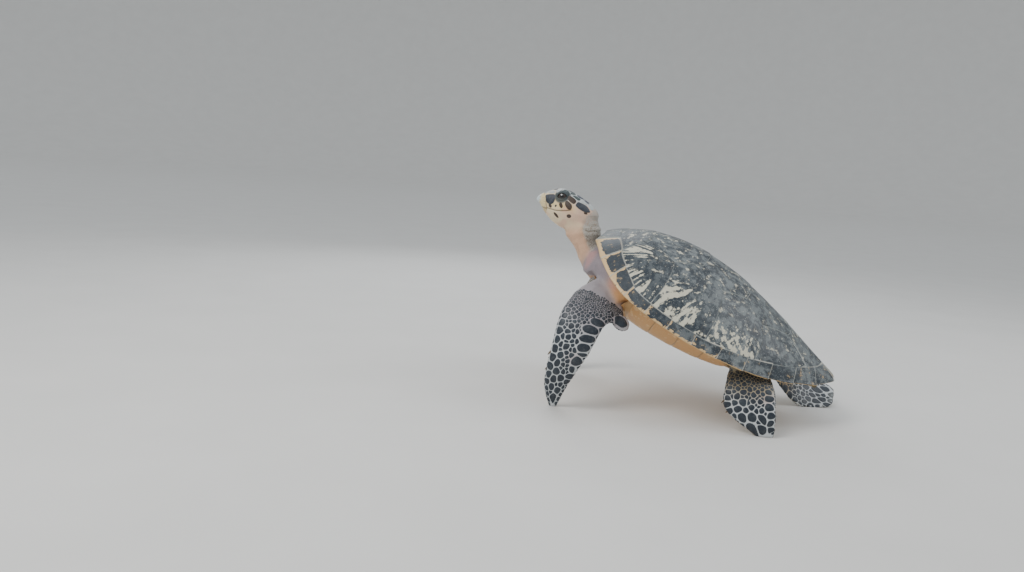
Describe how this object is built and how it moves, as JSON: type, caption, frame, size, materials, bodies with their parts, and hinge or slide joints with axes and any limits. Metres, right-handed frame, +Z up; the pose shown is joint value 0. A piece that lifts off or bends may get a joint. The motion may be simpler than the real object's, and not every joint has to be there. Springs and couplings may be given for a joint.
{
  "type": "hawksbill sea turtle model",
  "caption": "Life-size still model of a subadult hawksbill sea turtle, propped nose-up on its flippers with the head raised.",
  "frame": {"origin": "centre of the model's outline on the floor it stands on", "axes": "+X to the animal's left side, +Y towards its tail, +Z up"},
  "size_m": [0.3825, 0.6021, 0.3852],
  "materials": {
    "skin": "scaly grey skin with dark polygonal scales and pale seams",
    "head_skin": "pale cream skin with dark head scales",
    "carapace": "overlapping dark horn plates with cream streaks, part filmed and worn",
    "plastron": "yellow-orange horn plates",
    "beak": "smooth pale horn",
    "eye": "wet and dark",
    "claw": "smooth dark horn"
  },
  "bodies": {
    "root": {"head": "head_skin", "beak_upper": "beak", "beak_lower": "beak", "eye_left": "eye", "eye_right": "eye", "neck": "skin", "trunk": "skin", "tail": "skin", "flipper_front_left": "skin", "flipper_front_right": "skin", "flipper_rear_left": "skin", "flipper_rear_right": "skin", "claw_front_left_1": "claw", "claw_front_left_2": "claw", "claw_front_right_1": "claw", "claw_front_right_2": "claw", "claw_rear_left_1": "claw", "claw_rear_left_2": "claw", "claw_rear_right_1": "claw", "claw_rear_right_2": "claw", "nuchal": "carapace", "vertebral_1": "carapace", "vertebral_2": "carapace", "vertebral_3": "carapace", "vertebral_4": "carapace", "vertebral_5": "carapace", "costal_left_1": "carapace", "costal_left_2": "carapace", "costal_left_3": "carapace", "costal_left_4": "carapace", "costal_right_1": "carapace", "costal_right_2": "carapace", "costal_right_3": "carapace", "costal_right_4": "carapace", "rim_left": "carapace", "rim_right": "carapace", "plastron": "plastron"}
  },
  "joints": []
}
